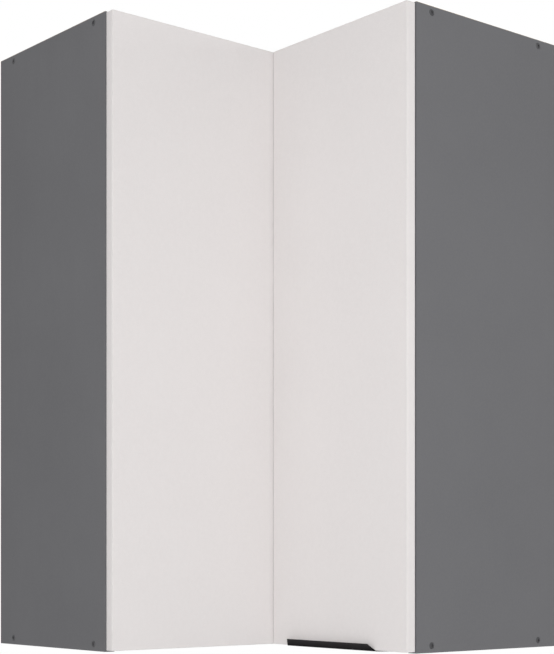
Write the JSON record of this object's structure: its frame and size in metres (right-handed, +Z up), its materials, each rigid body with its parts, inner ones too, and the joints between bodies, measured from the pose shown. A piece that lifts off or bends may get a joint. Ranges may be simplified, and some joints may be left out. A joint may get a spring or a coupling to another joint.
{
  "type": "corner wall cabinet",
  "caption": "L-shaped corner wall cabinet with a folding pair of plain doors, cup hinges, loose shelves, wall hangers and an edge pull under one door.",
  "frame": {"origin": "the room's corner, where both wall planes meet, level with the cabinet's underside", "axes": "+Z up; the right arm runs along +X on the wall plane y = 0 and the left arm along -Y on the wall plane x = 0"},
  "size_m": [0.6, 0.6, 0.9],
  "materials": {
    "carcass_board": "matt grey laminate on particle board",
    "back_board": "lacquered hardboard",
    "door_front": "satin warm white laminate",
    "pull_metal": "matt black powder coat",
    "dark_screws": "blackened steel",
    "hanger_plastic": "moulded grey",
    "bumper_rubber": "clear silicone",
    "nickel_steel": "nickel plated",
    "zinc_steel": "zinc plated"
  },
  "bodies": {
    "carcass": {"left_end_panel": "carcass_board", "right_end_panel": "carcass_board", "top_panel": "carcass_board", "bottom_panel": "carcass_board", "left_back_panel": "back_board", "right_back_panel": "back_board", "corner_post": "carcass_board", "lower_shelf": "carcass_board", "upper_shelf": "carcass_board", "shelf_pins": "nickel_steel", "panel_screws": "dark_screws", "post_screws": "dark_screws", "left_hanger": "hanger_plastic", "right_hanger": "hanger_plastic", "left_hanger_hook": "zinc_steel", "right_hanger_hook": "zinc_steel", "hanger_screws": "zinc_steel", "left_wall_plate": "zinc_steel", "right_wall_plate": "zinc_steel", "lower_hinge_plate": "nickel_steel", "middle_hinge_plate": "nickel_steel", "upper_hinge_plate": "nickel_steel", "lower_hinge_arm": "nickel_steel", "middle_hinge_arm": "nickel_steel", "upper_hinge_arm": "nickel_steel", "hinge_arm_pins": "zinc_steel", "hinge_plate_screws": "zinc_steel"},
    "hinge_links": {"lower_hinge_link": "zinc_steel", "middle_hinge_link": "zinc_steel", "upper_hinge_link": "zinc_steel"},
    "left_door": {"left_door": "door_front", "lower_hinge_cup": "nickel_steel", "middle_hinge_cup": "nickel_steel", "upper_hinge_cup": "nickel_steel", "hinge_cup_pins": "zinc_steel", "hinge_cup_screws": "zinc_steel", "lower_fold_leaf_left": "nickel_steel", "middle_fold_leaf_left": "nickel_steel", "upper_fold_leaf_left": "nickel_steel", "fold_pins": "zinc_steel", "fold_screws_left": "zinc_steel"},
    "right_door": {"right_door": "door_front", "lower_fold_leaf_right": "nickel_steel", "middle_fold_leaf_right": "nickel_steel", "upper_fold_leaf_right": "nickel_steel", "fold_screws_right": "zinc_steel", "edge_pull": "pull_metal", "pull_screws": "dark_screws", "door_bumpers": "bumper_rubber"}
  },
  "joints": [
    {"name": "hinge_link_swing", "type": "hinge", "parent": "carcass", "child": "hinge_links", "pos_m": [0.2925, -0.566, 0.45], "axis": [0, 0, 1], "range_deg": [0, 28]},
    {"name": "left_door_swing", "type": "hinge", "parent": "hinge_links", "child": "left_door", "pos_m": [0.297, -0.5895, 0.45], "axis": [0, 0, -1], "range_deg": [0, 133]},
    {"name": "right_door_fold", "type": "hinge", "parent": "left_door", "child": "right_door", "pos_m": [0.302, -0.289, 0.45], "axis": [0, 0, 1], "range_deg": [0, 70]}
  ],
  "couplings": [
    {"joint": "left_door_swing", "follows": "right_door_fold", "ratio": 1.9},
    {"joint": "hinge_link_swing", "follows": "right_door_fold", "ratio": 0.4}
  ]
}
